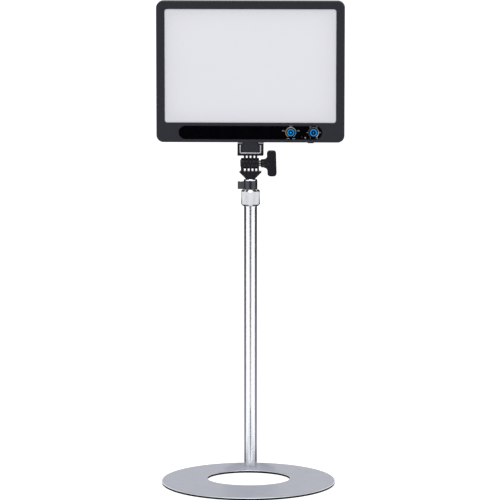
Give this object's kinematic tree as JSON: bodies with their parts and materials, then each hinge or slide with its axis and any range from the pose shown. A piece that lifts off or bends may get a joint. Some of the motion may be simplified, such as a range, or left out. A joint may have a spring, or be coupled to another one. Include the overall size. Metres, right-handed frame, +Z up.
{
  "type": "desk panel light",
  "caption": "Rectangular panel light on a telescopic mast with a tilting clamp head, slide-in shoe, dials and a flat ring base.",
  "frame": {"origin": "centre of the ring base, on the surface it stands on", "axes": "+Z up along the mast, -Y the way the light faces, +X towards the T handle"},
  "size_m": [0.2904, 0.266, 0.7323],
  "materials": {
    "base_coat": "satin grey powder coat",
    "pad_rubber": "matte",
    "chrome": "polished",
    "screw_steel": "zinc plated",
    "plug_steel": "turned",
    "knurled_alloy": "fine diamond knurl, satin",
    "black_nylon": "moulded, fine grain",
    "clip_plastic": "satin moulded",
    "brass": "turned",
    "liner_steel": "bent sheet, brushed",
    "housing": "dark slate, fine spark grain",
    "gloss_black": "polished",
    "opal": "opal diffuser, satin",
    "clear_acrylic": "polished",
    "white_film": "matte white film",
    "led_board": "white solder mask",
    "led_phosphor": "phosphor",
    "tray_alloy": "mill finish",
    "circuit_board": "green solder mask",
    "component_black": "matte",
    "encoder_case": "matte",
    "port_metal": "bright",
    "lamp_lens": "frosted",
    "blue_light": "lit translucent blue"
  },
  "bodies": {
    "stand": {"base_plate": "base_coat", "base_pad": "pad_rubber", "mast_screw": "screw_steel", "mast_plug": "plug_steel", "mast_outer_tube": "chrome", "collet_bush": "black_nylon"},
    "collar": {"lock_collar": "knurled_alloy"},
    "slider": {"mast_inner_tube": "chrome", "tube_guide": "black_nylon", "spigot_cap": "chrome"},
    "clip": {"cable_clip": "clip_plastic"},
    "head_base": {"tilt_base": "black_nylon", "stud_insert": "brass", "tilt_nut": "screw_steel"},
    "t_knob": {"tilt_bolt": "screw_steel", "tilt_knob": "black_nylon", "knob_ferrule": "screw_steel"},
    "shoe": {"shoe_channel": "black_nylon", "shoe_liner": "liner_steel"},
    "light": {"shoe_foot": "black_nylon", "foot_screws": "screw_steel", "mount_plate": "screw_steel", "front_bezel": "housing", "control_fascia": "gloss_black", "diffuser": "opal", "light_guide": "clear_acrylic", "reflector_sheet": "white_film", "led_boards": "led_board", "led_chips": "led_phosphor", "heat_spreader": "tray_alloy", "control_board": "circuit_board", "dial_encoders": "encoder_case", "power_switch": "component_black", "status_lamp": "lamp_lens", "driver_board": "circuit_board", "driver_parts": "component_black", "power_port": "port_metal", "rear_cover": "housing", "rear_screws": "screw_steel"},
    "dial_cct": {"cct_dial": "gloss_black", "cct_dial_ring": "blue_light"},
    "dial_level": {"brightness_dial": "gloss_black", "brightness_dial_ring": "blue_light"},
    "button": {"power_button": "gloss_black"}
  },
  "joints": [
    {"name": "mast_height", "type": "slide", "parent": "stand", "child": "slider", "axis": [0, 0, 1], "range_m": [0, 0.24]},
    {"name": "collar_turn", "type": "hinge", "parent": "stand", "child": "collar", "pos_m": [0, 0.108, 0.4275], "axis": [0, 0, 1], "range_deg": [0, 90]},
    {"name": "clip_turn", "type": "hinge", "parent": "slider", "child": "clip", "pos_m": [0, 0.108, 0.4473], "axis": [0, 0, 1], "continuous": true},
    {"name": "head_pan", "type": "hinge", "parent": "slider", "child": "head_base", "pos_m": [0, 0.108, 0.462], "axis": [0, 0, 1], "range_deg": [-180, 180]},
    {"name": "head_tilt", "type": "hinge", "parent": "head_base", "child": "shoe", "pos_m": [0, 0.108, 0.48065], "axis": [1, 0, 0], "range_deg": [-90, 90]},
    {"name": "knob_turn", "type": "hinge", "parent": "head_base", "child": "t_knob", "pos_m": [0, 0.108, 0.48065], "axis": [1, 0, 0], "continuous": true},
    {"name": "light_slide", "type": "slide", "parent": "shoe", "child": "light", "axis": [0, -1, 0], "range_m": [0, 0.022]},
    {"name": "cct_turn", "type": "hinge", "parent": "light", "child": "dial_cct", "pos_m": [0.0624, 0.097, 0.5298], "axis": [0, -1, 0], "range_deg": [-150, 150]},
    {"name": "brightness_turn", "type": "hinge", "parent": "light", "child": "dial_level", "pos_m": [0.0975, 0.097, 0.5298], "axis": [0, -1, 0], "range_deg": [-150, 150]},
    {"name": "button_press", "type": "slide", "parent": "light", "child": "button", "axis": [0, 0, 1], "range_m": [0, 0.0008], "stiffness_N_per_m": 800, "springref_m": -0.0006}
  ]
}
